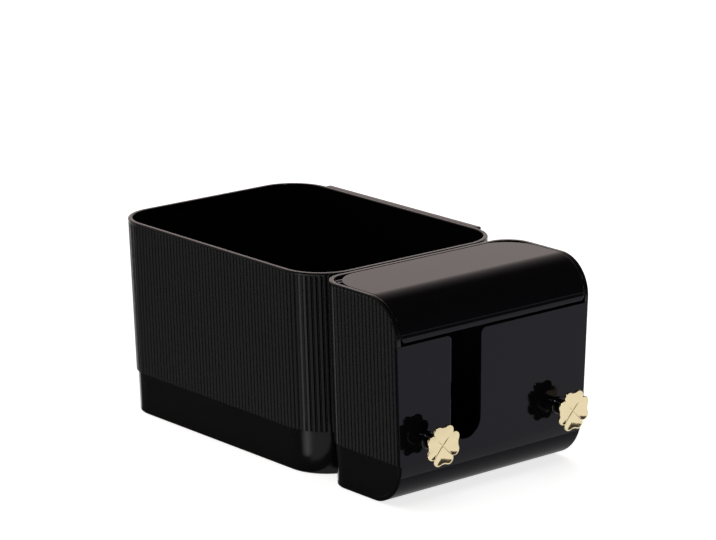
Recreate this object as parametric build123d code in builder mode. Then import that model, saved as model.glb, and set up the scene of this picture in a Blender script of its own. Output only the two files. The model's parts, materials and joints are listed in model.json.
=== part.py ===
from build123d import *
from math import cos, pi, radians, sin, tan
import os

# Brush holder with drawer.  Millimetres, +Z up, the knob side faces -Y,
# the origin is under the middle of the brush bin on the plane it stands on.

# ---------------------------------------------------------------- sizes
WIDTH = 147.0           # both units over the rib crests, at the rim
BIN_LENGTH = 192.0
RIM_Z = 120.0
BIN_RADIUS = 27.0       # plan corner of the bin
TAPER = tan(radians(2.2))
BASE_Z = 0.0            # underside of both mouldings
FLOOR_THICKNESS = 2.4
FLOOR_TOP = BASE_Z + FLOOR_THICKNESS
WALL = 2.5              # crest of a rib to the inner face
SKIRT_Z = 25.7          # top of the plain skirt
SKIRT_STEP = 1.0        # skirt set back from the rib crests
BASE_EDGE = 0.7         # small bevel round the foot of the skirt
RIB_PITCH = 3.0
RIB_DEPTH = 0.7
RIB_PROFILE = ((0.0, 1.0), (0.27, 0.0), (0.73, 0.0))   # share of the pitch, share of the depth
RIM_BAND = 1.4          # smooth band over the ribs
RIM_EDGE = 0.4
RIM_LIP = 0.05          # smooth band stands this far outside the rib crests

UNIT_GAP = 2.8          # bin end wall to the front unit
TUB_BACK = -BIN_LENGTH / 2 - UNIT_GAP
TUB_DEPTH = 66.6
FRONT_Y = TUB_BACK - TUB_DEPTH
TUB_TOP = 120.5
TUB_RADIUS = 16.0       # plan corner at the back of the front unit
TOP_RADIUS = 23.0       # quarter round from the lid top to the front
FOOT_RADIUS = 26.0      # quarter round from the front to the underside
PANEL_THICKNESS = 2.6
PANEL_SEAM = 0.1

LID_THICKNESS = 2.2
LID_DROP = 1.5          # lid reaches this far below the end of its bend
LID_LOW = TUB_TOP - TOP_RADIUS - LID_DROP
LID_SEAM = 1.0          # gap from the lid's lower edge to the panel
PANEL_TOP = LID_LOW - LID_SEAM
LID_SIDE_GAP = 0.6
LID_BACK_GAP = 0.9
LID_RADIUS = 23.0       # plan corner at the back of the lid
LID_CORNER = 4.5        # rounded lower corners
LID_BACK = TUB_BACK - WALL - LID_BACK_GAP
LID_HEM = 0.8
HINGE_INSET = 3.1
HINGE_Y = LID_BACK - HINGE_INSET
BARREL_RADIUS = 2.1
HINGE_Z = TUB_TOP - BARREL_RADIUS
BARREL_HALF = 58.0
PIN_RADIUS = 1.0
PIN_CLEARANCE = 0.05
PIN_SEAT = 1.2          # depth of a pin in the side wall
PIN_GRIP = 5.0          # depth of a pin in the lid barrel
LEDGE_WIDTH = 1.6
LEDGE_HEIGHT = 2.0
LEDGE_INSET = 13.2      # back wall to the back end of a ledge
LEDGE_BACK = TUB_BACK - LEDGE_INSET

SLOT_INSET = 52.0       # left side to the middle of the slot
SLOT_X = SLOT_INSET - WIDTH / 2
SLOT_WIDTH = 22.7
SLOT_LOW = 32.7
SLOT_MOUTH = 3.2        # rounding at the open top of the slot

KNOB_INSET = 23.7
KNOB_X = WIDTH / 2 - KNOB_INSET
KNOB_Z = 37.5
KNOB_REACH = 13.8       # panel to the face of the clover
CLOVER_THICKNESS = 3.0
LOBE_SIDE = 4.6         # centre of a lobe from the middle line of its petal
LOBE_STEP = 4.4         # centre of a lobe from the diagonal, along the petal
LOBE_JOIN = 1.375       # half the overlap of two petals along their diagonal
LOBE_REACH = LOBE_SIDE + LOBE_STEP
LOBE_RADIUS = (LOBE_STEP ** 2 / 2 + LOBE_JOIN ** 2) ** 0.5
DIP_DEPTH = 1.1         # dip in the end of a petal
PETAL_DIP = LOBE_REACH + LOBE_RADIUS - DIP_DEPTH
CLOVER_FACE = 0.6       # the face stands this far out of its rim
CLOVER_SHARE = 0.92
CREASE = 0.4
CREASE_LENGTH = 18.0
POST_RADIUS = 4.2
COLLAR_RADIUS = 5.2
COLLAR_THICKNESS = 1.2
SCREW_RADIUS = 1.8
SCREW_CLEARANCE = 0.1
SCREW_GRIP = 7.0
SCREW_HEAD_RADIUS = 3.4
SCREW_HEAD_THICKNESS = 2.0
RECESS_LENGTH = 3.4
RECESS_WIDTH = 0.8
RECESS_DEPTH = 1.0

TRAY_INSET = 28.0       # side of the bin to the tray
TRAY_HALF = WIDTH / 2 - TRAY_INSET
TRAY_WALL = 2.0
TRAY_TOP = 40.0
TRAY_BACK = BIN_LENGTH / 2 - 10.0
TRAY_RADIUS = 5.0
RUNNER_HEIGHT = 0.8     # two runners under the tray
RUNNER_GAP = 0.05
RUNNER_INSET = 11.5
RUNNER_WIDTH = 10.0
TRAY_LOW = FLOOR_TOP + RUNNER_GAP + RUNNER_HEIGHT
OPENING_SIDE = 1.2      # tray wall to the edge of the opening
OPENING_CLEAR = 3.2     # tray top to the top of the opening
OPENING_TOP = TRAY_TOP + OPENING_CLEAR
TRAY_SCREW_INSET = 7.5
TRAY_SCREW_X = TRAY_HALF - TRAY_SCREW_INSET
TRAY_SCREW_Z = (TRAY_LOW + TRAY_TOP) / 2
BOSS_LENGTH = 6.0
STOP_TAB_HALF = 14.0
STOP_TAB_HEIGHT = 2.4
STOP_BAR_END = 6.0      # bar past each end of the tab
STOP_BAR_DEPTH = 4.0
STOP_BAR_CLEAR = 0.8    # tray top to the bar
STOP_GAP = 0.3
SLIDE_TRAVEL = 140.0

GUIDE_GAP = 0.6
GUIDE_WALL = 2.0
GUIDE_FOOT = 10.0
GUIDE_FOOT_THICKNESS = 2.2
GUIDE_FRONT_INSET = 11.0
GUIDE_BACK_INSET = 24.0
DECK_CLEAR = 4.0        # tray top to the deck
DECK_Z = TRAY_TOP + DECK_CLEAR
DECK_THICKNESS = 2.4
DECK_TOP = DECK_Z + DECK_THICKNESS
DECK_GAP = 0.5
FINGER_LENGTH = 30.0
FINGER_WIDTH = 16.0
FINGER_INSET = 36.0     # sides of the bin to the middle of the finger hole

CELL_SIZE = 20.4
CELL_WALL = 1.5
CELL_RADIUS = 1.5
CELL_PITCH_X = 40.8
CELL_PITCH_Y = 39.0
CELL_ROWS = 4
RACK_SIDE_GAP = 3.0     # rack to the side wall at the deck
RACK_BACK_GAP = 10.5
RACK_HEIGHT = 39.6
RACK_TOP = DECK_TOP + RACK_HEIGHT
RACK_PLATE = 2.0
RACK_RADIUS = CELL_RADIUS + CELL_WALL
DIVIDER_Y = -28.0
DIVIDER_THICKNESS = 2.0
DIVIDER_DROP = 2.0      # top of the divider below the rack
DIVIDER_TOP = RACK_TOP - DIVIDER_DROP
DIVIDER_FOOT = 9.0

RAIL_THICKNESS = 4.0
RAIL_HEIGHT = 16.0
RAIL_SEAM = 0.1

BUMPER_INSET = 35.5
BUMPER_WIDTH = 8.0
BUMPER_LOW = 56.0
BUMPER_DROP = 12.0      # top of the front unit to the top of a bumper

BAY_HALF = 34.5         # middle of the slot to either side of the pad bay
BAY_LEFT = SLOT_X - BAY_HALF
BAY_RIGHT = SLOT_X + BAY_HALF
BAY_WALL = 1.4
BAY_DROP = 7.0
BAY_TOP = PANEL_TOP - BAY_DROP
BAY_FOOT = 7.0
BAY_FOOT_END = 5.0
BAY_BACK_GAP = 1.2


# ---------------------------------------------------------------- outlines
def inset(z):
    # how far the leaning walls have come in at height z
    return (RIM_Z - z) * TAPER


def bin_points(z, depth, offset):
    # ribbed outline of the bin: crests, shoulders and roots in turn; the end
    # wall that faces the front unit stays plain and upright
    cx = WIDTH / 2 - BIN_RADIUS
    cy = BIN_LENGTH / 2 - BIN_RADIUS
    arc = BIN_RADIUS * pi / 2
    runs = [arc, 2 * cy, arc, 2 * cx, arc, 2 * cy, arc]
    total = sum(runs)
    count = round(total / RIB_PITCH)
    marks = [((i + f) / count, d) for i in range(count) for f, d in RIB_PROFILE]
    marks.append((1.0, 1.0))
    lean = inset(z)
    result = []
    for share, drop in marks:
        run = share * total
        leg = 0
        while leg < 6 and run > runs[leg]:
            run -= runs[leg]
            leg += 1
        quarter = run / BIN_RADIUS
        heading, px, py = [
            (-pi / 2 + quarter, cx, -cy),
            (0.0, cx, -cy + run),
            (quarter, cx, cy),
            (pi / 2, cx - run, cy),
            (pi / 2 + quarter, -cx, cy),
            (pi, -cx, cy - run),
            (pi + quarter, -cx, -cy),
        ][leg]
        ux = cos(heading)
        uy = sin(heading)
        reach = BIN_RADIUS - offset - drop * depth
        if uy < 0:
            shift = lean if px > 0 else -lean
            result.append((px + ux * reach - shift, py + uy * reach))
        else:
            result.append((px + ux * (reach - lean), py + uy * (reach - lean)))
    return result


def tub_points(z, depth, offset):
    # ribbed outline of the front unit: both sides and the two back corners,
    # the back wall and the open front are plain
    cx = WIDTH / 2 - TUB_RADIUS
    cy = TUB_BACK - TUB_RADIUS
    side = cy - FRONT_Y
    total = side + TUB_RADIUS * pi / 2
    count = round(total / RIB_PITCH)
    marks = [((i + f) / count, d) for i in range(count) for f, d in RIB_PROFILE]
    marks.append((1.0, 1.0))
    lean = inset(z)
    half = []
    for share, drop in marks:
        run = share * total
        heading = max(0.0, run - side) / TUB_RADIUS
        py = min(FRONT_Y + run, cy)
        reach = TUB_RADIUS - offset - drop * depth
        half.append((cx - lean + cos(heading) * reach, py + sin(heading) * reach))
    return half + [(-x, y) for x, y in reversed(half)]


def bin_outline(z, offset):
    # smooth outline of the bin, inside a BuildLine
    cx = WIDTH / 2 - BIN_RADIUS
    cy = BIN_LENGTH / 2 - BIN_RADIUS
    near = cx - inset(z)
    wide = BIN_RADIUS - offset
    back = BIN_RADIUS - offset - inset(z)
    Line((-near, -cy - wide), (near, -cy - wide))
    CenterArc((near, -cy), wide, -90, 90)
    Line((near + wide, -cy), (cx + back, cy))
    CenterArc((cx, cy), back, 0, 90)
    Line((cx, cy + back), (-cx, cy + back))
    CenterArc((-cx, cy), back, 90, 90)
    Line((-cx - back, cy), (-near - wide, -cy))
    CenterArc((-near, -cy), wide, 180, 90)


def tub_outline(z, offset, front, radius):
    # smooth outline of the front unit, inside a BuildLine
    cx = WIDTH / 2 - offset - radius - inset(z)
    cy = TUB_BACK - offset - radius
    Line((cx + radius, front), (cx + radius, cy))
    CenterArc((cx, cy), radius, 0, 90)
    Line((cx, cy + radius), (-cx, cy + radius))
    CenterArc((-cx, cy), radius, 90, 90)
    Line((-cx - radius, cy), (-cx - radius, front))
    Line((-cx - radius, front), (cx + radius, front))


def leaning_prism(low, high, draw):
    # block whose side walls and front corners lean outward as they rise: two slanted
    # prisms, one leaning to each side, and what they have in common
    length = (high - low) * (1 + TAPER ** 2) ** 0.5
    with BuildPart(mode=Mode.PRIVATE) as prism:
        for side in (1, -1):
            with BuildSketch(Plane.XY.offset(low)):
                with BuildLine():
                    draw(side)
                make_face()
            extrude(amount=length, dir=(side * TAPER, 0, 1),
                    mode=Mode.ADD if side > 0 else Mode.INTERSECT)
    return prism.part


def bin_front(low, high, offset):
    # front half of a smooth block of the bin
    def draw(side):
        wide = BIN_RADIUS - offset
        near = side * (WIDTH / 2 - BIN_RADIUS - inset(low))
        cy = BIN_LENGTH / 2 - BIN_RADIUS
        Line((-side * WIDTH, -cy - wide), (near, -cy - wide))
        CenterArc((near, -cy), wide, -90, side * 90)
        Line((near + side * wide, -cy), (near + side * wide, 0))
        Line((near + side * wide, 0), (-side * WIDTH, 0))
        Line((-side * WIDTH, 0), (-side * WIDTH, -cy - wide))
    return leaning_prism(low, high, draw)


def bin_back(low, high, offset):
    # back half, whose back wall and corners lean too
    with BuildPart(mode=Mode.PRIVATE) as block:
        for z in (low, high):
            cx = WIDTH / 2 - BIN_RADIUS
            cy = BIN_LENGTH / 2 - BIN_RADIUS
            wide = BIN_RADIUS - offset - inset(z)
            with BuildSketch(Plane.XY.offset(z)):
                with BuildLine():
                    Line((-cx - wide, 0), (cx + wide, 0))
                    Line((cx + wide, 0), (cx + wide, cy))
                    CenterArc((cx, cy), wide, 0, 90)
                    Line((cx, cy + wide), (-cx, cy + wide))
                    CenterArc((-cx, cy), wide, 90, 90)
                    Line((-cx - wide, cy), (-cx - wide, 0))
                make_face()
        loft(ruled=True)
    return block.part


def bin_edge(low, low_offset, high, high_offset):
    # thin bevelled layer of the bin
    with BuildPart(mode=Mode.PRIVATE) as block:
        for z, offset in ((low, low_offset), (high, high_offset)):
            with BuildSketch(Plane.XY.offset(z)):
                with BuildLine():
                    bin_outline(z, offset)
                make_face()
        loft(ruled=True)
    return block.part


def bin_block(low, high, offset):
    return bin_front(low, high, offset) + bin_back(low, high, offset)


def tub_block(low, high, offset, front=FRONT_Y, radius=None):
    # smooth block of the front unit or of the lid
    corner = TUB_RADIUS - offset if radius is None else radius

    def draw(side):
        cx = side * (WIDTH / 2 - offset - corner - inset(low))
        cy = TUB_BACK - offset - corner
        Line((-side * WIDTH, front), (cx + side * corner, front))
        Line((cx + side * corner, front), (cx + side * corner, cy))
        CenterArc((cx, cy), corner, 0 if side > 0 else 180, side * 90)
        Line((cx, cy + corner), (-side * WIDTH, cy + corner))
        Line((-side * WIDTH, cy + corner), (-side * WIDTH, front))
    return leaning_prism(low, high, draw)


def tub_edge(low, low_offset, high, high_offset):
    # thin bevelled layer of the front unit
    with BuildPart(mode=Mode.PRIVATE) as block:
        for z, offset in ((low, low_offset), (high, high_offset)):
            with BuildSketch(Plane.XY.offset(z)):
                with BuildLine():
                    tub_outline(z, offset, FRONT_Y, TUB_RADIUS - offset)
                make_face()
        loft(ruled=True)
    return block.part


def ribbed_block(points, levels):
    # ribbed block between two (height, rib depth, offset) levels, facet by facet
    (low_z, low_depth, low_offset), (high_z, high_depth, high_offset) = levels
    low = [Vector(x, y, low_z) for x, y in points(low_z, low_depth, low_offset)]
    high = [Vector(x, y, high_z) for x, y in points(high_z, high_depth, high_offset)]
    count = len(low)
    faces = [Face(Wire.make_polygon(low)), Face(Wire.make_polygon(high))]
    for i in range(count):
        j = (i + 1) % count
        across = (low[j] - low[i]).normalized()
        above = (high[j] - high[i]).normalized()
        if (across - above).length < 1e-6:
            faces.append(Face(Wire.make_polygon([low[i], low[j], high[j], high[i]])))
        else:
            faces.append(Face(Wire.make_polygon([low[i], low[j], high[j]])))
            faces.append(Face(Wire.make_polygon([low[i], high[j], high[i]])))
    block = Solid(Shell(faces))
    return block if block.volume > 0 else -block


def side_block(draw, half=WIDTH):
    # side profile in Y and Z pushed out along X to both sides
    with BuildPart(mode=Mode.PRIVATE) as block:
        with BuildSketch(Plane.YZ):
            with BuildLine():
                draw()
            make_face()
        extrude(amount=half, both=True)
    return block.part


# ---------------------------------------------------------------- bin shell
bin_band = ribbed_block(bin_points, [(SKIRT_Z, RIB_DEPTH, 0.0),
                                     (RIM_Z - RIM_BAND, RIB_DEPTH, 0.0)])
bin_foot = BASE_Z + BASE_EDGE
rim_low = RIM_Z - RIM_BAND
rim_high = RIM_Z - RIM_EDGE
bin_skirt = bin_block(bin_foot, SKIRT_Z, SKIRT_STEP)
bin_sole = bin_edge(BASE_Z, SKIRT_STEP + BASE_EDGE, bin_foot, SKIRT_STEP)
bin_rim = bin_block(rim_low, rim_high, -RIM_LIP)
bin_lip = bin_edge(rim_high, -RIM_LIP, RIM_Z, RIM_EDGE)
bin_hollow = bin_block(FLOOR_TOP, RIM_Z + 1.0, WALL)
opening_half = TRAY_HALF + OPENING_SIDE
guide_inner = TRAY_HALF + GUIDE_GAP

with BuildPart() as bin_shell:
    add(bin_sole)
    add(bin_skirt)
    add(bin_band)
    add(bin_rim)
    add(bin_lip)
    add(bin_hollow, mode=Mode.SUBTRACT)
    # opening for the drawer tray in the end wall
    with BuildSketch(Plane.XZ.offset(BIN_LENGTH / 2 - WALL - 2)):
        with Locations((0, (FLOOR_TOP + OPENING_TOP) / 2)):
            RectangleRounded(2 * opening_half, OPENING_TOP - FLOOR_TOP, 2.0)
    extrude(amount=WALL + 8, mode=Mode.SUBTRACT)
bin_shell.part.label = "bin_shell"

# ---------------------------------------------------------------- back rail
rail_half = BIN_LENGTH / 2 - BIN_RADIUS
with BuildPart() as back_rail:
    with BuildSketch(Plane.XZ.offset(-rail_half)):
        top_x = WIDTH / 2 + RAIL_SEAM
        low_x = top_x - RAIL_HEIGHT * TAPER
        low_z = RIM_Z - RAIL_HEIGHT
        with BuildLine():
            Polyline((top_x, RIM_Z), (top_x + RAIL_THICKNESS, RIM_Z),
                     (low_x + RAIL_THICKNESS, low_z), (low_x, low_z), close=True)
        make_face()
    extrude(amount=2 * rail_half)
    outer = back_rail.edges().filter_by(Axis.Y).sort_by(Axis.X)[-2:]
    chamfer(outer, 0.5)
back_rail.part.label = "back_rail"

# ---------------------------------------------------------------- drawer guides, deck
def guide(side):
    # L profile: upright beside the tray, foot bonded to the floor
    inner = side * guide_inner
    outer = side * (guide_inner + GUIDE_WALL)
    foot = side * (guide_inner + GUIDE_WALL + GUIDE_FOOT)
    low = FLOOR_TOP + GUIDE_FOOT_THICKNESS
    back = BIN_LENGTH / 2 - GUIDE_BACK_INSET
    front = GUIDE_FRONT_INSET - BIN_LENGTH / 2
    with BuildPart(mode=Mode.PRIVATE) as rail:
        with BuildSketch(Plane.XZ.offset(-back)):
            with BuildLine():
                Polyline((inner, FLOOR_TOP), (foot, FLOOR_TOP), (foot, low), (outer, low),
                         (outer, DECK_Z), (inner, DECK_Z), close=True)
            make_face()
        extrude(amount=back - front)
    return rail.part


with BuildPart() as guide_left:
    add(guide(-1))
guide_left.part.label = "guide_left"

with BuildPart() as guide_right:
    add(guide(1))
guide_right.part.label = "guide_right"

with BuildPart() as bin_deck:
    with BuildSketch(Plane.XY.offset(DECK_Z)):
        with BuildLine():
            bin_outline(DECK_Z, WALL + DECK_GAP)
        make_face()
    extrude(amount=DECK_THICKNESS)
    # finger hole to lift the deck out
    with BuildSketch(Plane.XY.offset(DECK_Z)):
        with Locations((WIDTH / 2 - FINGER_INSET, BIN_LENGTH / 2 - FINGER_INSET)):
            SlotOverall(FINGER_LENGTH, FINGER_WIDTH)
    extrude(amount=DECK_THICKNESS, mode=Mode.SUBTRACT)
bin_deck.part.label = "bin_deck"

stop_y = TRAY_BACK - TRAY_WALL - SLIDE_TRAVEL - STOP_GAP
with BuildPart() as stop_bar:
    with BuildSketch(Plane.XY.offset(DECK_Z)):
        with Locations((0, stop_y - STOP_BAR_DEPTH / 2)):
            Rectangle(2 * (STOP_TAB_HALF + STOP_BAR_END), STOP_BAR_DEPTH)
    extrude(amount=STOP_BAR_CLEAR - DECK_CLEAR)
stop_bar.part.label = "stop_bar"

# ---------------------------------------------------------------- tube rack, divider
rack_wall = WIDTH / 2 - WALL - inset(DECK_TOP)
rack_low_x = RACK_SIDE_GAP - rack_wall
rack_high_x = rack_low_x + CELL_PITCH_X + CELL_SIZE + 2 * CELL_WALL
rack_high_y = BIN_LENGTH / 2 - WALL - inset(DECK_TOP) - RACK_BACK_GAP
rack_low_y = rack_high_y - (CELL_ROWS - 1) * CELL_PITCH_Y - CELL_SIZE - 2 * CELL_WALL
rack_middle = ((rack_low_x + rack_high_x) / 2, (rack_low_y + rack_high_y) / 2)
rack_size = (rack_high_x - rack_low_x, rack_high_y - rack_low_y)
first_x = rack_low_x + CELL_WALL + CELL_SIZE / 2
first_y = rack_low_y + CELL_WALL + CELL_SIZE / 2
cell_spots = [(first_x + i * CELL_PITCH_X, first_y + j * CELL_PITCH_Y)
              for i in range(2) for j in range(CELL_ROWS)]

with BuildPart() as tube_rack:
    with BuildSketch(Plane.XY.offset(DECK_TOP)):
        with Locations(rack_middle):
            RectangleRounded(rack_size[0], rack_size[1], RACK_RADIUS)
    extrude(amount=RACK_TOP - DECK_TOP)
    with BuildSketch(Plane.XY.offset(DECK_TOP)):
        with Locations(rack_middle):
            RectangleRounded(rack_size[0] - 2 * CELL_WALL, rack_size[1] - 2 * CELL_WALL,
                             RACK_RADIUS - CELL_WALL)
    extrude(amount=RACK_TOP - RACK_PLATE - DECK_TOP, mode=Mode.SUBTRACT)
    # eight square sleeves under the plate
    with BuildSketch(Plane.XY.offset(DECK_TOP)):
        with Locations(*cell_spots):
            Rectangle(CELL_SIZE + 2 * CELL_WALL, CELL_SIZE + 2 * CELL_WALL)
    extrude(amount=RACK_TOP - DECK_TOP)
    with BuildSketch(Plane.XY.offset(DECK_TOP)):
        with Locations(rack_middle):
            RectangleRounded(rack_size[0], rack_size[1], RACK_RADIUS)
    extrude(amount=RACK_TOP - DECK_TOP, mode=Mode.INTERSECT)
    with BuildSketch(Plane.XY.offset(DECK_TOP)):
        with Locations(*cell_spots):
            RectangleRounded(CELL_SIZE, CELL_SIZE, CELL_RADIUS)
    extrude(amount=RACK_TOP - DECK_TOP, mode=Mode.SUBTRACT)
    top_edges = tube_rack.faces().sort_by(Axis.Z)[-1].outer_wire().edges()
    chamfer(top_edges, 0.6)
tube_rack.part.label = "tube_rack"

divider_start = rack_high_x + DECK_GAP
divider_end = WIDTH / 2 - WALL - inset(DECK_TOP) - DECK_GAP
with BuildPart() as brush_divider:
    with BuildSketch(Plane.XY.offset(DECK_TOP)):
        with Locations(((divider_start + divider_end) / 2, DIVIDER_Y)):
            Rectangle(divider_end - divider_start, DIVIDER_THICKNESS)
        for end in (divider_start, divider_end):
            inward = 1 if end == divider_start else -1
            with Locations((end + inward * DIVIDER_THICKNESS / 2, DIVIDER_Y)):
                Rectangle(DIVIDER_THICKNESS, 2 * DIVIDER_FOOT)
    extrude(amount=DIVIDER_TOP - DECK_TOP)
    low_edges = brush_divider.faces().sort_by(Axis.Z)[-1].edges()
    chamfer(low_edges, 0.4)
brush_divider.part.label = "brush_divider"


# ---------------------------------------------------------------- front tub
def outer_profile(shrink):
    # full side profile of the front unit drawn in by shrink at top and front
    low = BASE_Z
    top = TUB_TOP - shrink
    front = FRONT_Y + shrink
    bend = TOP_RADIUS - shrink
    bend_y = FRONT_Y + TOP_RADIUS
    bend_z = TUB_TOP - TOP_RADIUS
    rear = TUB_BACK + 5
    seam = PANEL_TOP + PANEL_SEAM
    inner = FRONT_Y + PANEL_THICKNESS
    foot_y = FRONT_Y + FOOT_RADIUS
    foot_z = BASE_Z + FOOT_RADIUS
    foot = FOOT_RADIUS - PANEL_THICKNESS
    Line((rear, top), (bend_y, top))
    CenterArc((bend_y, bend_z), bend, 90, 90)
    Line((front, bend_z), (front, seam))
    Line((front, seam), (inner, seam))
    Line((inner, seam), (inner, foot_z))
    CenterArc((foot_y, foot_z), foot, 180, 90)
    Line((foot_y, foot_z - foot), (foot_y, low))
    Line((foot_y, low), (rear, low))
    Line((rear, low), (rear, top))


def panel_profile():
    # front wall that turns under with the foot radius
    foot_y = FRONT_Y + FOOT_RADIUS
    foot_z = BASE_Z + FOOT_RADIUS
    Line((FRONT_Y, PANEL_TOP), (FRONT_Y, foot_z))
    CenterArc((foot_y, foot_z), FOOT_RADIUS, 180, 90)
    Line((foot_y, BASE_Z), (foot_y, BASE_Z + PANEL_THICKNESS))
    CenterArc((foot_y, foot_z), FOOT_RADIUS - PANEL_THICKNESS, 270, -90)
    Line((FRONT_Y + PANEL_THICKNESS, foot_z), (FRONT_Y + PANEL_THICKNESS, PANEL_TOP))
    Line((FRONT_Y + PANEL_THICKNESS, PANEL_TOP), (FRONT_Y, PANEL_TOP))


tub_skin = tub_block(SKIRT_Z, TUB_TOP, 0.0)
tub_band_skin = tub_block(SKIRT_Z, TUB_TOP, -RIM_LIP)
tub_foot = BASE_Z + BASE_EDGE
tub_skirt = (tub_edge(BASE_Z, SKIRT_STEP + BASE_EDGE, tub_foot, SKIRT_STEP)
             + tub_block(tub_foot, SKIRT_Z, SKIRT_STEP))
tub_band = ribbed_block(tub_points, [(SKIRT_Z, RIB_DEPTH, 0.0), (TUB_TOP, RIB_DEPTH, 0.0)])
tub_hollow = tub_block(FLOOR_TOP, TUB_TOP + 1.0, WALL, front=FRONT_Y - 5)
profile_full = side_block(lambda: outer_profile(0.0))
profile_ribs = side_block(lambda: outer_profile(RIM_BAND))
tub_rim = (tub_band_skin & profile_full) - profile_ribs
tub_body = ((tub_band & profile_ribs) + tub_rim) + (tub_skirt & profile_full)
tray_screw_spots = [(-TRAY_SCREW_X, TRAY_SCREW_Z), (TRAY_SCREW_X, TRAY_SCREW_Z)]
wall_inner = WIDTH / 2 - WALL
# inner face of the rounded back corner where a hinge pin enters it
pin_drop = HINGE_Y - TUB_BACK + TUB_RADIUS
pin_wall = WIDTH / 2 - TUB_RADIUS + ((TUB_RADIUS - WALL) ** 2 - pin_drop ** 2) ** 0.5

with BuildPart() as front_tub:
    add(tub_body)
    add(tub_hollow, mode=Mode.SUBTRACT)
    # ledges that carry the lid at both sides
    for side in (-1, 1):
        with BuildSketch(Plane.XY.offset(TUB_TOP - LID_THICKNESS)):
            with Locations((side * (wall_inner - LEDGE_WIDTH / 2),
                            (LEDGE_BACK + FRONT_Y + TOP_RADIUS) / 2)):
                Rectangle(LEDGE_WIDTH + 0.8, LEDGE_BACK - FRONT_Y - TOP_RADIUS)
        extrude(amount=-LEDGE_HEIGHT)
    # seats of the hinge pins
    for side in (-1, 1):
        with BuildSketch(Plane.YZ.offset(side * (pin_wall + PIN_SEAT))):
            with Locations((HINGE_Y, HINGE_Z)):
                Circle(PIN_RADIUS + PIN_CLEARANCE)
        extrude(amount=-side * 6.0, mode=Mode.SUBTRACT)
    # holes of the tray screws in the back wall
    with BuildSketch(Plane.XZ.offset(-TUB_BACK - 1)):
        with Locations(*tray_screw_spots):
            Circle(SCREW_RADIUS + SCREW_CLEARANCE)
    extrude(amount=WALL + 2, mode=Mode.SUBTRACT)
front_tub.part.label = "front_tub"

# ---------------------------------------------------------------- front panel
panel_shell = side_block(panel_profile)
panel_body = (tub_skin & panel_shell) + (tub_skirt & panel_shell)
knob_spots = [(-KNOB_X, KNOB_Z), (KNOB_X, KNOB_Z)]

with BuildPart() as front_panel:
    add(panel_body)
    # slot for the pads, open at the top, with a round end and a rounded mouth
    with BuildSketch(Plane.XZ.offset(-FRONT_Y - PANEL_THICKNESS - 1)):
        slot_round = SLOT_WIDTH / 2
        left = SLOT_X - slot_round
        right = SLOT_X + slot_round
        with BuildLine():
            Line((left - SLOT_MOUTH, PANEL_TOP), (left - SLOT_MOUTH, PANEL_TOP + 3))
            Line((left - SLOT_MOUTH, PANEL_TOP + 3), (right + SLOT_MOUTH, PANEL_TOP + 3))
            Line((right + SLOT_MOUTH, PANEL_TOP + 3), (right + SLOT_MOUTH, PANEL_TOP))
            CenterArc((right + SLOT_MOUTH, PANEL_TOP - SLOT_MOUTH), SLOT_MOUTH, 90, 90)
            Line((right, PANEL_TOP - SLOT_MOUTH), (right, SLOT_LOW + slot_round))
            CenterArc((SLOT_X, SLOT_LOW + slot_round), slot_round, 0, -180)
            Line((left, SLOT_LOW + slot_round), (left, PANEL_TOP - SLOT_MOUTH))
            CenterArc((left - SLOT_MOUTH, PANEL_TOP - SLOT_MOUTH), SLOT_MOUTH, 0, 90)
        make_face()
    extrude(amount=PANEL_THICKNESS + 4, mode=Mode.SUBTRACT)
    with BuildSketch(Plane.XZ.offset(-FRONT_Y - PANEL_THICKNESS - 1)):
        with Locations(*knob_spots):
            Circle(SCREW_RADIUS + SCREW_CLEARANCE)
    extrude(amount=PANEL_THICKNESS + 4, mode=Mode.SUBTRACT)
front_panel.part.label = "front_panel"


# ---------------------------------------------------------------- lid
def lid_profile():
    bend_y = FRONT_Y + TOP_RADIUS
    bend_z = TUB_TOP - TOP_RADIUS
    inner = TOP_RADIUS - LID_THICKNESS
    Line((LID_BACK, TUB_TOP), (bend_y, TUB_TOP))
    CenterArc((bend_y, bend_z), TOP_RADIUS, 90, 90)
    Line((FRONT_Y, bend_z), (FRONT_Y, LID_LOW + LID_HEM))
    Line((FRONT_Y, LID_LOW + LID_HEM), (FRONT_Y + LID_HEM, LID_LOW))
    Line((FRONT_Y + LID_HEM, LID_LOW), (FRONT_Y + LID_THICKNESS, LID_LOW))
    Line((FRONT_Y + LID_THICKNESS, LID_LOW), (FRONT_Y + LID_THICKNESS, bend_z))
    CenterArc((bend_y, bend_z), inner, 180, -90)
    Line((bend_y, bend_z + inner), (LID_BACK, TUB_TOP - LID_THICKNESS))
    Line((LID_BACK, TUB_TOP - LID_THICKNESS), (LID_BACK, TUB_TOP))


lid_plan = tub_block(LID_LOW - 1, TUB_TOP + 1, WALL + LID_SIDE_GAP, front=FRONT_Y - 2,
                     radius=LID_RADIUS)
lid_body = side_block(lid_profile) & lid_plan

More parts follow.
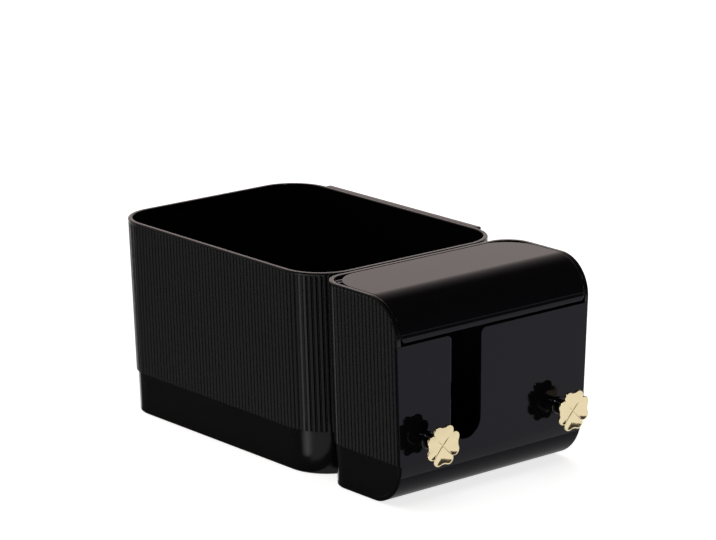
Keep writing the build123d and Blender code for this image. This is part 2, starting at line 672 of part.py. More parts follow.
with BuildPart() as lid:
    add(lid_body)
    # barrel under the back edge with a bore for a pin at each end
    with BuildSketch(Plane.YZ.offset(-BARREL_HALF)):
        with Locations((HINGE_Y, HINGE_Z)):
            Circle(BARREL_RADIUS)
    extrude(amount=2 * BARREL_HALF)
    for side in (-1, 1):
        with BuildSketch(Plane.YZ.offset(side * (BARREL_HALF - PIN_GRIP))):
            with Locations((HINGE_Y, HINGE_Z)):
                Circle(PIN_RADIUS + PIN_CLEARANCE)
        extrude(amount=side * (WIDTH / 2 - BARREL_HALF + PIN_GRIP), mode=Mode.SUBTRACT)
    # rounded lower corners
    low_half = WIDTH / 2 - WALL - LID_SIDE_GAP - inset(LID_LOW)
    for side in (-1, 1):
        with BuildSketch(Plane.XZ.offset(-FRONT_Y - LID_THICKNESS - 1)):
            with BuildLine():
                Line((side * (low_half - LID_CORNER), LID_LOW), (side * (low_half + 1), LID_LOW))
                Line((side * (low_half + 1), LID_LOW), (side * (low_half + 1), LID_LOW + LID_CORNER))
                Line((side * (low_half + 1), LID_LOW + LID_CORNER),
                     (side * low_half, LID_LOW + LID_CORNER))
                CenterArc((side * (low_half - LID_CORNER), LID_LOW + LID_CORNER), LID_CORNER,
                          0 if side > 0 else 180, -90 if side > 0 else 90)
            make_face()
        extrude(amount=LID_THICKNESS + 2, mode=Mode.SUBTRACT)
lid.part.label = "lid"


def hinge_pin(side):
    start = side * (BARREL_HALF - PIN_GRIP + 0.3)
    reach = pin_wall + PIN_SEAT - 0.2 - abs(start)
    with BuildPart(mode=Mode.PRIVATE) as pin:
        with BuildSketch(Plane.YZ.offset(start)):
            with Locations((HINGE_Y, HINGE_Z)):
                Circle(PIN_RADIUS)
        extrude(amount=side * reach)
    return pin.part


with BuildPart() as hinge_pin_left:
    add(hinge_pin(-1))
hinge_pin_left.part.label = "hinge_pin_left"

with BuildPart() as hinge_pin_right:
    add(hinge_pin(1))
hinge_pin_right.part.label = "hinge_pin_right"


# ---------------------------------------------------------------- bay dividers
def bay_divider(x, side):
    # upright wall across the tub with a foot turned away from the pad bay
    front = FRONT_Y + FOOT_RADIUS
    back = TUB_BACK - WALL - BAY_BACK_GAP
    near = FRONT_Y + PANEL_THICKNESS + DECK_GAP
    with BuildPart(mode=Mode.PRIVATE) as wall:
        with BuildSketch(Plane.YZ.offset(x)):
            with BuildLine():
                Line((back, FLOOR_TOP), (front, FLOOR_TOP))
                Line((front, FLOOR_TOP), (front, FLOOR_TOP + DECK_GAP))
                CenterArc((front, FLOOR_TOP + front - near + DECK_GAP), front - near, 270, -90)
                Line((near, FLOOR_TOP + front - near + DECK_GAP), (near, BAY_TOP))
                Line((near, BAY_TOP), (back, BAY_TOP))
                Line((back, BAY_TOP), (back, FLOOR_TOP))
            make_face()
        extrude(amount=side * BAY_WALL)
        with BuildSketch(Plane.XY.offset(FLOOR_TOP)):
            with Locations((x + side * (BAY_FOOT / 2), (back + front) / 2)):
                Rectangle(BAY_FOOT, back - front - 2 * BAY_FOOT_END)
        extrude(amount=BAY_WALL)
    return wall.part


with BuildPart() as bay_divider_left:
    add(bay_divider(BAY_LEFT, -1))
bay_divider_left.part.label = "bay_divider_left"

with BuildPart() as bay_divider_right:
    add(bay_divider(BAY_RIGHT, 1))
bay_divider_right.part.label = "bay_divider_right"


# ---------------------------------------------------------------- knobs
def clover_outline(x, share):
    # four petals; each has two round lobes and a shallow dip between them
    reach, side, radius = LOBE_REACH, LOBE_SIDE, LOBE_RADIUS
    apart = (reach - side) / 2 ** 0.5
    valley = (reach + side) / 2 + ((radius ** 2 - apart ** 2) / 2) ** 0.5
    hollow = (side ** 2 - radius ** 2 + (reach - PETAL_DIP) ** 2) / (2 * (radius + reach - PETAL_DIP))
    span = (side ** 2 + (PETAL_DIP + hollow - reach) ** 2) ** 0.5
    meet_x = reach + radius * (PETAL_DIP + hollow - reach) / span
    meet_y = side - radius * side / span
    bulge_x = reach + radius * 0.8
    bulge_y = side + radius * 0.6
    marks = [(valley, -valley), (bulge_x, -bulge_y), (meet_x, -meet_y), (PETAL_DIP, 0),
             (meet_x, meet_y), (bulge_x, bulge_y), (valley, valley)]
    for turn in range(4):
        c = round(cos(turn * pi / 2))
        n = round(sin(turn * pi / 2))
        spun = [(x + share * (px * c - py * n), KNOB_Z + share * (px * n + py * c))
                for px, py in marks]
        ThreePointArc(spun[0], spun[1], spun[2])
        ThreePointArc(spun[2], spun[3], spun[4])
        ThreePointArc(spun[4], spun[5], spun[6])


def clover(x):
    back = FRONT_Y - KNOB_REACH + CLOVER_THICKNESS
    with BuildPart(mode=Mode.PRIVATE) as head:
        with BuildSketch(Plane.XZ.offset(-back)):
            with BuildLine():
                clover_outline(x, 1.0)
            make_face()
        extrude(amount=CLOVER_THICKNESS - CLOVER_FACE)
        # raised face inside a plain rim
        with BuildSketch(Plane.XZ.offset(-back)):
            with BuildLine():
                clover_outline(x, CLOVER_SHARE)
            make_face()
        extrude(amount=CLOVER_THICKNESS)
        # creases between the petals
        with BuildSketch(Plane.XZ.offset(KNOB_REACH - FRONT_Y)):
            with Locations((x, KNOB_Z)):
                Rectangle(CREASE_LENGTH, CREASE, rotation=45)
                Rectangle(CREASE_LENGTH, CREASE, rotation=-45)
        extrude(amount=-CREASE, mode=Mode.SUBTRACT)
    return head.part


def post(x):
    length = KNOB_REACH - CLOVER_THICKNESS
    with BuildPart(mode=Mode.PRIVATE) as stem:
        with BuildSketch(Plane.XZ.offset(-FRONT_Y)):
            with Locations((x, KNOB_Z)):
                Circle(POST_RADIUS)
        extrude(amount=length)
        with BuildSketch(Plane.XZ.offset(-FRONT_Y)):
            with Locations((x, KNOB_Z)):
                Circle(COLLAR_RADIUS)
        extrude(amount=COLLAR_THICKNESS)
        edge = stem.edges().filter_by(GeomType.CIRCLE).group_by(SortBy.RADIUS)[-1]
        chamfer(edge.sort_by(Axis.Y)[0], 0.4)
        with BuildSketch(Plane.XZ.offset(-FRONT_Y)):
            with Locations((x, KNOB_Z)):
                Circle(SCREW_RADIUS + PIN_CLEARANCE)
        extrude(amount=SCREW_GRIP + 0.3, mode=Mode.SUBTRACT)
    return stem.part


with BuildPart() as clover_left:
    add(clover(-KNOB_X))
clover_left.part.label = "clover_left"

with BuildPart() as clover_right:
    add(clover(KNOB_X))
clover_right.part.label = "clover_right"

with BuildPart() as post_left:
    add(post(-KNOB_X))
post_left.part.label = "post_left"

with BuildPart() as post_right:
    add(post(KNOB_X))
post_right.part.label = "post_right"

head_y = FRONT_Y + PANEL_THICKNESS
with BuildPart() as knob_screws:
    with BuildSketch(Plane.XZ.offset(-head_y)):
        with Locations(*knob_spots):
            Circle(SCREW_RADIUS)
    extrude(amount=head_y - FRONT_Y + SCREW_GRIP)
    with BuildSketch(Plane.XZ.offset(-head_y)):
        with Locations(*knob_spots):
            Circle(SCREW_HEAD_RADIUS)
    extrude(amount=-SCREW_HEAD_THICKNESS)
    with BuildSketch(Plane.XZ.offset(-head_y - SCREW_HEAD_THICKNESS)):
        with Locations(*knob_spots):
            Rectangle(RECESS_LENGTH, RECESS_WIDTH)
            Rectangle(RECESS_WIDTH, RECESS_LENGTH)
    extrude(amount=RECESS_DEPTH, mode=Mode.SUBTRACT)
knob_screws.part.label = "knob_screws"

# ---------------------------------------------------------------- drawer tray
tray_length = TRAY_BACK - TUB_BACK
tray_middle = (TRAY_BACK + TUB_BACK) / 2
with BuildPart() as drawer_tray:
    with BuildSketch(Plane.XY.offset(TRAY_LOW)):
        with Locations((0, tray_middle)):
            RectangleRounded(2 * TRAY_HALF, tray_length, TRAY_RADIUS)
    extrude(amount=TRAY_TOP - TRAY_LOW)
    with BuildSketch(Plane.XY.offset(TRAY_LOW + TRAY_WALL)):
        with Locations((0, tray_middle)):
            RectangleRounded(2 * (TRAY_HALF - TRAY_WALL), tray_length - 2 * TRAY_WALL,
                             TRAY_RADIUS - TRAY_WALL)
    extrude(amount=TRAY_TOP - TRAY_LOW, mode=Mode.SUBTRACT)
    # bosses for the screws that hold the tray to the front unit
    with BuildSketch(Plane.XZ.offset(-TUB_BACK)):
        with Locations(*tray_screw_spots):
            Circle(SCREW_HEAD_RADIUS)
    extrude(amount=-BOSS_LENGTH)
    with BuildSketch(Plane.XZ.offset(-TUB_BACK)):
        with Locations(*tray_screw_spots):
            Circle(SCREW_RADIUS + PIN_CLEARANCE)
    extrude(amount=STOP_GAP - BOSS_LENGTH, mode=Mode.SUBTRACT)
    # tab on the rear wall that meets the stop bar
    with BuildSketch(Plane.XY.offset(TRAY_TOP)):
        with Locations((0, TRAY_BACK - TRAY_WALL / 2)):
            Rectangle(2 * STOP_TAB_HALF, TRAY_WALL)
    extrude(amount=STOP_TAB_HEIGHT)
    # runners that slide on the floor of the bin
    runner_x = TRAY_HALF - RUNNER_INSET
    with BuildSketch(Plane.XY.offset(TRAY_LOW)):
        with Locations((-runner_x, tray_middle), (runner_x, tray_middle)):
            Rectangle(RUNNER_WIDTH, tray_length - 2 * RUNNER_INSET)
    extrude(amount=-RUNNER_HEIGHT)
drawer_tray.part.label = "drawer_tray"

tray_head_y = TUB_BACK - WALL
with BuildPart() as tray_screws:
    with BuildSketch(Plane.XZ.offset(-tray_head_y)):
        with Locations(*tray_screw_spots):
            Circle(SCREW_RADIUS)
    extrude(amount=-(WALL + BOSS_LENGTH - 2 * STOP_GAP))
    with BuildSketch(Plane.XZ.offset(-tray_head_y)):
        with Locations(*tray_screw_spots):
            Circle(SCREW_HEAD_RADIUS)
    extrude(amount=SCREW_HEAD_THICKNESS)
    with BuildSketch(Plane.XZ.offset(-tray_head_y + SCREW_HEAD_THICKNESS)):
        with Locations(*tray_screw_spots):
            Rectangle(RECESS_LENGTH, RECESS_WIDTH)
            Rectangle(RECESS_WIDTH, RECESS_LENGTH)
    extrude(amount=-RECESS_DEPTH, mode=Mode.SUBTRACT)
tray_screws.part.label = "tray_screws"

bumper_top = TUB_TOP - BUMPER_DROP
bumper_x = WIDTH / 2 - BUMPER_INSET
with BuildPart() as drawer_bumpers:
    with BuildSketch(Plane.XZ.offset(-TUB_BACK)):
        with Locations(*[(s * bumper_x, (BUMPER_LOW + bumper_top) / 2) for s in (-1, 1)]):
            Rectangle(BUMPER_WIDTH, bumper_top - BUMPER_LOW)
    extrude(amount=PANEL_SEAM - UNIT_GAP)
drawer_bumpers.part.label = "drawer_bumpers"

# ---------------------------------------------------------------- export
os.makedirs("parts", exist_ok=True)
export_step(bin_shell.part, "parts/bin_shell.step")
export_step(back_rail.part, "parts/back_rail.step")
export_step(guide_left.part, "parts/guide_left.step")
export_step(guide_right.part, "parts/guide_right.step")
export_step(bin_deck.part, "parts/bin_deck.step")
export_step(stop_bar.part, "parts/stop_bar.step")
export_step(tube_rack.part, "parts/tube_rack.step")
export_step(brush_divider.part, "parts/brush_divider.step")
export_step(front_tub.part, "parts/front_tub.step")
export_step(front_panel.part, "parts/front_panel.step")
export_step(lid.part, "parts/lid.step")
export_step(hinge_pin_left.part, "parts/hinge_pin_left.step")
export_step(hinge_pin_right.part, "parts/hinge_pin_right.step")
export_step(bay_divider_left.part, "parts/bay_divider_left.step")
export_step(bay_divider_right.part, "parts/bay_divider_right.step")
export_step(clover_left.part, "parts/clover_left.step")
export_step(clover_right.part, "parts/clover_right.step")
export_step(post_left.part, "parts/post_left.step")
export_step(post_right.part, "parts/post_right.step")
export_step(knob_screws.part, "parts/knob_screws.step")
export_step(drawer_tray.part, "parts/drawer_tray.step")
export_step(tray_screws.part, "parts/tray_screws.step")
export_step(drawer_bumpers.part, "parts/drawer_bumpers.step")
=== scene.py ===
import json
from math import cos, pi, radians, sin, sqrt
import bpy
import numpy as np
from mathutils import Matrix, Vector


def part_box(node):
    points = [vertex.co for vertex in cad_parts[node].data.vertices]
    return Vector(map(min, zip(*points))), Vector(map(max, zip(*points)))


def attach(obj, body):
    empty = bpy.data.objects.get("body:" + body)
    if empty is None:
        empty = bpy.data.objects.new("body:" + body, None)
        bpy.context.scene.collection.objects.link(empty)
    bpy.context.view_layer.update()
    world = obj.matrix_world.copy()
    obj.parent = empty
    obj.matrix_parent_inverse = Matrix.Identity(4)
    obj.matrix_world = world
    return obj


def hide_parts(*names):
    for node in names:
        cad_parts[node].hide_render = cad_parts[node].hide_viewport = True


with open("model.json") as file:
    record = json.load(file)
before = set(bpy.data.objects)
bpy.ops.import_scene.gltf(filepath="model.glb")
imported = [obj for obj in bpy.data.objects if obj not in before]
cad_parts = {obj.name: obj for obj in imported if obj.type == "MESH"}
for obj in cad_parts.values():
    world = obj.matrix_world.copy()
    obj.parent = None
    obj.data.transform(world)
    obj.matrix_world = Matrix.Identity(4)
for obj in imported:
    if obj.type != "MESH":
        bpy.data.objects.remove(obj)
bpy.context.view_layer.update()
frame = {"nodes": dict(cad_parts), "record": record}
print("frame loaded:", len(frame["nodes"]), "nodes")


def feed(tree, socket, value):
    # a number sets the socket, and another socket is linked to it
    if isinstance(value, (int, float)):
        socket.default_value = value
    else:
        tree.links.new(value, socket)


def newGroup(name, inputs, output):
    # node group with number inputs and one number output
    group = bpy.data.node_groups.new(name, "ShaderNodeTree")
    for label, value in inputs.items():
        socket = group.interface.new_socket(label, in_out="INPUT", socket_type="NodeSocketFloat")
        socket.default_value = value
    group.interface.new_socket(output, in_out="OUTPUT", socket_type="NodeSocketFloat")
    return group, group.nodes.new("NodeGroupInput"), group.nodes.new("NodeGroupOutput")


def noise(tree, vector, scale, detail, roughness=0.5):
    # number from 0 to 1 that drifts over the surface, scale times a metre
    node = tree.nodes.new("ShaderNodeTexNoise")
    feed(tree, node.inputs["Scale"], scale)
    node.inputs["Detail"].default_value = detail
    node.inputs["Roughness"].default_value = roughness
    tree.links.new(vector, node.inputs["Vector"])
    return node.outputs["Fac"]


def spread(tree, value, low, high, outLow, outHigh):
    # maps low..high onto outLow..outHigh, clamped
    node = tree.nodes.new("ShaderNodeMapRange")
    for label, limit in (("From Min", low), ("From Max", high), ("To Min", outLow), ("To Max", outHigh)):
        feed(tree, node.inputs[label], limit)
    tree.links.new(value, node.inputs["Value"])
    return node.outputs["Result"]


marksLook = dict(patchDetail=4.0, patchRoughness=0.62, streakScale=420.0, streakDetail=2.0,
                 streakShare=0.18, low=0.42, high=0.78)


def makeHandlingMarks():
    # roughness = Clean to Touched, by soft patches plus a share of finer streaks
    look = marksLook
    group, source, sink = newGroup("handlingMarks", {"Patch Scale": 18.0, "Clean": 0.05, "Touched": 0.12},
                                   "Roughness")
    place = group.nodes.new("ShaderNodeTexCoord").outputs["Object"]
    patch = noise(group, place, source.outputs["Patch Scale"], look["patchDetail"], look["patchRoughness"])
    streak = noise(group, place, look["streakScale"], look["streakDetail"])
    both = group.nodes.new("ShaderNodeMath")
    both.operation = "MULTIPLY_ADD"
    for socket, value in zip(both.inputs, (streak, look["streakShare"], patch)):
        feed(group, socket, value)
    level = spread(group, both.outputs[0], look["low"], look["high"],
                   source.outputs["Clean"], source.outputs["Touched"])
    group.links.new(level, sink.inputs["Roughness"])
    return group


surfaceLook = dict(waveDetail=1.0, grainDetail=2.0, grainRoughness=0.6)


def makeMouldSurface():
    # bump height = slow flow waves of moulded plastic mixed with a fine tool grain
    look = surfaceLook
    group, source, sink = newGroup("mouldSurface", {"Wave Scale": 30.0, "Grain Scale": 2600.0,
                                                    "Grain Share": 0.3}, "Height")
    place = group.nodes.new("ShaderNodeTexCoord").outputs["Object"]
    mix = group.nodes.new("ShaderNodeMix")
    feed(group, mix.inputs["Factor"], source.outputs["Grain Share"])
    feed(group, mix.inputs["A"], noise(group, place, source.outputs["Wave Scale"], look["waveDetail"]))
    feed(group, mix.inputs["B"], noise(group, place, source.outputs["Grain Scale"], look["grainDetail"],
                                       look["grainRoughness"]))
    group.links.new(mix.outputs["Result"], sink.inputs["Height"])
    return group


handlingMarks = makeHandlingMarks()
mouldSurface = makeMouldSurface()

# edge is the radius of the shading-only rounding; rimEdge takes its place above rimFoot, on the
# bin's and the front unit's top edges
baseLook = dict(ior=1.24, metallic=0.0, mirrorTint=(1.0, 1.0, 1.0), patch=18.0, wave=22.0, grain=2400.0,
                grainShare=0.15, bump=0.08, bumpDepth=0.0003, edge=0.0004, edgeSamples=8)
looks = {
    "blackGloss": dict(color=(0.0030, 0.0028, 0.0034), clean=0.02, touched=0.05,
                       mirrorTint=(0.80, 0.76, 1.0)),
    "blackRibbed": dict(color=(0.0027, 0.0027, 0.0028), clean=0.10, touched=0.15, ior=1.27, wave=9.0,
                        bump=0.02, edge=0.0003, rimEdge=0.0011, rimFoot=0.1178, rimTop=0.1186),
    "blackInner": dict(color=(0.016, 0.016, 0.017), clean=0.28, touched=0.4, ior=1.4, grainShare=0.5,
                       bump=0.2),
    "goldMirror": dict(color=(0.66, 0.57, 0.36), clean=0.05, touched=0.13, metallic=1.0, wave=140.0,
                       bump=0.1),
    "postGloss": dict(color=(0.0022, 0.0022, 0.0024), clean=0.04, touched=0.09, ior=1.45),
    "screwSteel": dict(color=(0.52, 0.52, 0.53), clean=0.22, touched=0.38, metallic=1.0, edge=0.0001),
    "footRubber": dict(color=(0.012, 0.012, 0.013), clean=0.6, touched=0.8, grainShare=0.8, bump=0.5),
}
slotMaterial = {"black_gloss": "blackGloss", "black_ribbed": "blackRibbed", "black_inner": "blackInner",
                "gold": "goldMirror", "dark_post": "postGloss", "steel": "screwSteel",
                "rubber": "footRubber"}


def placeGroup(tree, group, values):
    # a copy of the shared effect with this material's own values
    node = tree.nodes.new("ShaderNodeGroup")
    node.node_tree = group
    for label, value in values.items():
        node.inputs[label].default_value = value
    return node.outputs[0]


def makeMaterial(name, look):
    # handling marks drive the roughness; rounded edges, then the mould surface, bend the normal
    material = bpy.data.materials.new(name)
    material.use_nodes = True
    tree = material.node_tree
    shader = tree.nodes["Principled BSDF"]
    shader.inputs["Base Color"].default_value = (*look["color"], 1)
    shader.inputs["IOR"].default_value = look["ior"]
    shader.inputs["Metallic"].default_value = look["metallic"]
    shader.inputs["Specular Tint"].default_value = (*look["mirrorTint"], 1)
    marks = {"Patch Scale": look["patch"], "Clean": look["clean"], "Touched": look["touched"]}
    tree.links.new(placeGroup(tree, handlingMarks, marks), shader.inputs["Roughness"])
    edge = tree.nodes.new("ShaderNodeBevel")
    edge.samples = look["edgeSamples"]
    edge.inputs["Radius"].default_value = look["edge"]
    if "rimEdge" in look:
        split = tree.nodes.new("ShaderNodeSeparateXYZ")
        tree.links.new(tree.nodes.new("ShaderNodeTexCoord").outputs["Object"], split.inputs[0])
        radius = spread(tree, split.outputs["Z"], look["rimFoot"], look["rimTop"], look["edge"],
                        look["rimEdge"])
        tree.links.new(radius, edge.inputs["Radius"])
    surface = {"Wave Scale": look["wave"], "Grain Scale": look["grain"], "Grain Share": look["grainShare"]}
    bump = tree.nodes.new("ShaderNodeBump")
    bump.inputs["Strength"].default_value = look["bump"]
    bump.inputs["Distance"].default_value = look["bumpDepth"]
    tree.links.new(edge.outputs["Normal"], bump.inputs["Normal"])
    tree.links.new(placeGroup(tree, mouldSurface, surface), bump.inputs["Height"])
    tree.links.new(bump.outputs["Normal"], shader.inputs["Normal"])
    return material


materials = {name: makeMaterial(name, {**baseLook, **look}) for name, look in looks.items()}
for row in frame["record"]["subparts"]:
    node = frame["nodes"][row["node"]]
    node.data.materials.clear()
    node.data.materials.append(materials[slotMaterial[row["material_slot"]]])
print("materials placed")

# the clovers' lengths in metres, turns in degrees; lobeTurn is each round lobe's turn from its petal's middle
cloverLook = dict(lobeAway=0.0090, lobeRadius=0.0033, lobeTurn=25, dipReach=0.0108, notchReach=0.0093,
                  fadeStart=24, fadeSpan=14, blendPower=26,
                  rimWidth=0.0008, rimBand=0.00064, rimDrop=0.0003, edgeRound=0.00035, edgeSteps=6,
                  saucerDepth=0.00095, saucerStart=0.34,
                  creaseWidth=0.00036, creaseDepth=0.00022, creaseReach=0.0094, creaseFade=0.0012,
                  plateThickness=0.0017, plateShares=(0.7, 0.85, 0.95),
                  bossRadius=0.0046, filletWidth=0.0003, filletHeight=0.0002,
                  around=320, faceRings=60, faceCrowding=1.15)


def petalReach(turn):
    # outline of four petals: a high power mean of a round lobe on each side of the petal and the
    # petal's middle, whose reach eases down to the notch's beside the next petal
    look = cloverLook
    fromMiddle = np.abs((turn + pi / 4) % (pi / 2) - pi / 4)
    fromLobe = fromMiddle - radians(look["lobeTurn"])
    chord = look["lobeRadius"] ** 2 - (look["lobeAway"] * np.sin(fromLobe)) ** 2
    lobe = look["lobeAway"] * np.cos(fromLobe) + np.sqrt(np.maximum(chord, 0))
    fade = np.clip((fromMiddle - radians(look["fadeStart"])) / radians(look["fadeSpan"]), 0, 1)
    ease = fade * fade * (3 - 2 * fade)
    middle = look["dipReach"] + (look["notchReach"] - look["dipReach"]) * ease
    power = look["blendPower"]
    return (lobe ** power + middle ** power) ** (1 / power)


def faceRelief(u, v, share):
    # height of the face: a saucer, share squared, that rises to the rim, less a groove along each
    # diagonal that fades out before the notches
    look = cloverLook
    rise = np.clip((share - look["saucerStart"]) / (1 - look["saucerStart"]), 0, 1)
    gap = np.minimum(np.abs(u - v), np.abs(u + v)) / sqrt(2)
    groove = np.clip(1 - gap / look["creaseWidth"], 0, 1)
    groove = groove * np.clip((look["creaseReach"] - np.hypot(u, v)) / look["creaseFade"], 0, 1)
    return look["saucerDepth"] * (rise ** 2 - 1) - look["creaseDepth"] * groove


def gridShell(name, grid):
    # closed shell from rings x around: a four-sided face between neighbours on two rings, and a
    # fan from the single points that the first and the last ring are
    rows, count = grid.shape[:2]
    points = np.vstack([grid[0, :1], grid[1:-1].reshape(-1, 3), grid[-1, :1]])
    here = np.arange(count)
    after = np.roll(here, -1)
    starts = 1 + count * np.arange(rows - 2)
    rowStart = starts[:-1, None]
    quads = np.stack([rowStart + here, rowStart + after, rowStart + count + after,
                      rowStart + count + here], 2).reshape(-1, 4)
    firstFan = np.stack([0 * here, 1 + after, 1 + here], 1)
    lastFan = np.stack([starts[-1] + here, starts[-1] + after, 0 * here + len(points) - 1], 1)
    faces = firstFan.tolist() + quads.tolist() + lastFan.tolist()
    mesh = bpy.data.meshes.new(name)
    mesh.from_pydata(points.tolist(), [], faces)
    mesh.validate()
    mesh.shade_smooth()
    piece = bpy.data.objects.new(name, mesh)
    bpy.context.scene.collection.objects.link(piece)
    return piece


def makeClover(node):
    # rings from the back to the front: boss, fillet, back plate, rounded edge, rim band, face
    look = cloverLook
    low, high = (Vector(corner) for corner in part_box(node))
    middle = (low + high) / 2
    turn = np.linspace(0, 2 * pi, look["around"], endpoint=False)
    outline = petalReach(turn)
    reach = outline * min(1.0, (high.x - low.x) / 2 / outline.max())
    even = np.ones_like(turn)
    front, back = low.y, high.y
    plate = front + look["plateThickness"]
    rimFront = front + look["rimDrop"]
    boss = look["bossRadius"]
    rings = [(0 * even, back), (boss / 2 * even, back), (boss * even, back),
             (boss * even, plate + look["filletHeight"]), ((boss + look["filletWidth"]) * even, plate)]
    rings += [(boss + (reach - boss) * share, plate) for share in look["plateShares"]]
    for step in range(look["edgeSteps"] + 1):
        bend = pi * step / look["edgeSteps"]
        onBack = step <= look["edgeSteps"] // 2
        centre = plate - look["edgeRound"] if onBack else rimFront + look["edgeRound"]
        rings.append((reach - look["edgeRound"] * (1 - sin(bend)), centre + look["edgeRound"] * cos(bend)))
    rings.append((reach - look["rimBand"], rimFront))
    faceReach = reach - look["rimWidth"]
    for share in 1 - np.linspace(0, 1, look["faceRings"]) ** look["faceCrowding"]:
        radius = faceReach * share
        rings.append((radius, rimFront - faceRelief(radius * np.cos(turn), radius * np.sin(turn), share)))
    grid = [np.stack([middle.x + radius * np.cos(turn), y * even, middle.z + radius * np.sin(turn)], 1)
            for radius, y in rings]
    return gridShell(node + "Fine", np.array(grid))


for side in ("left", "right"):
    clover = makeClover("clover_" + side)
    clover.data.materials.append(materials["goldMirror"])
    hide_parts("clover_" + side)
    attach(clover, "drawer")
print("clovers made")

floorLook = dict(half=8.0, color=(0.90, 0.90, 0.90), glow=0.78)


def addStage(name, corners, faces):
    # mesh with its own matt material that isn't part of the object
    mesh = bpy.data.meshes.new(name)
    mesh.from_pydata(corners, [], faces)
    piece = bpy.data.objects.new(name, mesh)
    bpy.context.scene.collection.objects.link(piece)
    material = bpy.data.materials.new(name)
    material.use_nodes = True
    mesh.materials.append(material)
    shader = material.node_tree.nodes["Principled BSDF"]
    shader.inputs["Specular IOR Level"].default_value = 0
    shader.inputs["Emission Color"].default_value = (1, 1, 1, 1)
    return piece, shader


def makeFloor():
    # white paper: lit from above, with a glow that keeps the shadow under the object pale
    half = floorLook["half"]
    corners = [(-half, -half, 0), (half, -half, 0), (half, half, 0), (-half, half, 0)]
    piece, shader = addStage("floor", corners, [(0, 1, 2, 3)])
    shader.inputs["Base Color"].default_value = (*floorLook["color"], 1)
    shader.inputs["Roughness"].default_value = 1
    shader.inputs["Emission Strength"].default_value = floorLook["glow"]


airLook = dict(color=(1.0, 0.87, 0.83), wallTone=0.97, darkTone=0.06,
               wallSide=(-0.1, 0.35), wallTop=(0.29, 0.74))


def makeWorld():
    # tone = wall where a ray goes back (+Y) and low, fading to dark overhead and in front
    world = bpy.data.worlds.new("studioAir")
    bpy.context.scene.world = world
    world.use_nodes = True
    tree = world.node_tree
    split = tree.nodes.new("ShaderNodeSeparateXYZ")
    tree.links.new(tree.nodes.new("ShaderNodeTexCoord").outputs["Generated"], split.inputs[0])
    both = tree.nodes.new("ShaderNodeMath")
    both.operation = "MULTIPLY"
    feed(tree, both.inputs[0], spread(tree, split.outputs["Y"], *airLook["wallSide"], 0.0, 1.0))
    feed(tree, both.inputs[1], spread(tree, split.outputs["Z"], *airLook["wallTop"], 1.0, 0.0))
    tone = spread(tree, both.outputs[0], 0.0, 1.0, airLook["darkTone"], airLook["wallTone"])
    background = tree.nodes["Background"]
    tree.links.new(tone, background.inputs["Strength"])
    background.inputs["Color"].default_value = (*airLook["color"], 1)


makeFloor()
makeWorld()


def addReflectionPaper(name, corners, faces, tone):
    # glowing paper that only mirrored rays see: it paints reflections into the object, bright paper as
    # painted highlights and dark paper as painted shade
    paper, shader = addStage(name, corners, faces)
    shader.inputs["Base Color"].default_value = (0, 0, 0, 1)
    shader.inputs["Emission Strength"].default_value = tone
    for ray in ("camera", "diffuse", "shadow", "transmission", "volume_scatter"):
        setattr(paper, "visible_" + ray, False)


# a card's low and high corner on the floor, and its tone; the dark ones keep what mirrors them black, which
# is painted shade in the object's reflections of the floor
cardLift = 0.0002
cardLeftShade = dict(low=(-0.092, -0.1655), high=(-0.066, 3.0), tone=0.07)
# the bright card glows through the fins into the left walls, a painted highlight on the bin's front corner
# and on the ribs
cardWindowHighlight = dict(low=(-2.0, -0.9), high=(-0.092, 1.2), tone=3.2)
cardFrontShade = dict(low=(-0.078, -3.0), high=(3.0, -0.62), tone=0.07)
# the card just in front of the foot paints the contact shadow that the panel's rounded foot mirrors
cardFootShadow = dict(low=(-0.066, -0.176), high=(0.10, -0.10), tone=0.34)


def makeCard(name, look):
    # a rectangle just over the floor
    (x0, y0), (x1, y1) = look["low"], look["high"]
    corners = [(x0, y0, cardLift), (x1, y0, cardLift), (x1, y1, cardLift), (x0, y1, cardLift)]
    addReflectionPaper(name, corners, [(0, 1, 2, 3)], look["tone"])


# fins along X on the floor left of the object, each a dark strip with a bright one just behind it; they paint
# shade and highlights into the ribs' reflections
finLook = dict(pitch=0.003, height=0.0042, nearEnd=-0.9, farEnd=1.2, outer=-2.0, inner=-0.079)
finsAwayShade = dict(offset=0.0, tone=0.045)
finsBackHighlight = dict(offset=0.0001, tone=0.95)


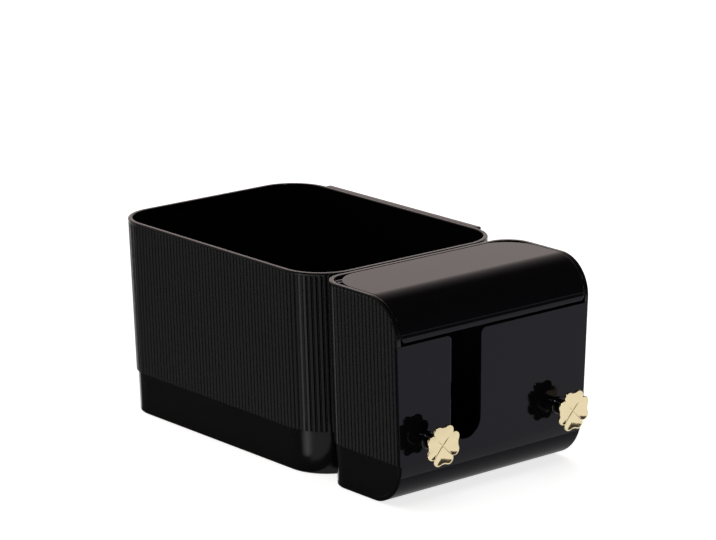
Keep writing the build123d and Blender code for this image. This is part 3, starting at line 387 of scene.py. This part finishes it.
def makeFins(name, side):
    # one upright profile repeated every pitch along Y. Rays along the fins pass between them to the bright
    # card; rays that cross them meet the dark strips on their way to +Y and the bright ones on their way to
    # -Y, which brings out the ribs as painted highlight lines and painted shade
    look = finLook
    profile = np.array([(look["outer"], 0, 0), (look["inner"], 0, 0),
                        (look["inner"], 0, look["height"]), (look["outer"], 0, look["height"])])
    steps = np.arange(look["nearEnd"], look["farEnd"], look["pitch"]) + side["offset"]
    corners = (profile + steps[:, None, None] * np.array([0, 1, 0])).reshape(-1, 3).tolist()
    faces = np.arange(len(corners)).reshape(-1, 4).tolist()
    addReflectionPaper(name, corners, faces, side["tone"])


makeCard("cardLeftShade", cardLeftShade)
makeCard("cardWindowHighlight", cardWindowHighlight)
makeFins("finsAwayShade", finsAwayShade)
makeFins("finsBackHighlight", finsBackHighlight)
makeCard("cardFrontShade", cardFrontShade)
makeCard("cardFootShadow", cardFootShadow)
print("stage made")

topLight = dict(place=(0, 0.3, 3.0), target=(0, 0, 0), size=4.0, power=46.0, glossy=False, diffuse=True)
frontSoftbox = dict(place=(-0.35, -1.65, 1.36), target=(0, -0.17, 0.05), size=0.30, power=9.0,
                    glossy=True, diffuse=False)
cameraLook = dict(place=(-1.1998, -1.4520, 0.5970), target=(-0.03109, -0.0840, 0.11525), lens=164.5,
                  sensor=36.0, farClip=50)


def placeAimed(name, data, look):
    # object that stands at its place and looks along -Z at its target
    item = bpy.data.objects.new(name, data)
    bpy.context.scene.collection.objects.link(item)
    item.location = look["place"]
    aim = Vector(look["target"]) - Vector(look["place"])
    item.rotation_euler = aim.to_track_quat("-Z", "Y").to_euler()
    return item


def makeLight(name, look):
    # a square lamp that the camera doesn't see
    light = bpy.data.lights.new(name, "AREA")
    light.shape = "SQUARE"
    light.size = look["size"]
    light.energy = look["power"]
    lamp = placeAimed(name, light, look)
    lamp.visible_glossy = look["glossy"]
    lamp.visible_diffuse = look["diffuse"]
    lamp.visible_camera = False


def makeCamera():
    # the photograph's place, aim and lens
    data = bpy.data.cameras.new("photoCamera")
    data.lens = cameraLook["lens"]
    data.sensor_width = cameraLook["sensor"]
    data.sensor_fit = "HORIZONTAL"
    data.clip_end = cameraLook["farClip"]
    bpy.context.scene.camera = placeAimed("photoCamera", data, cameraLook)


makeLight("topLight", topLight)
makeLight("frontSoftbox", frontSoftbox)
makeCamera()
bpy.context.scene.view_settings.view_transform = "Standard"
print("lights and camera placed")

print("scene ready")
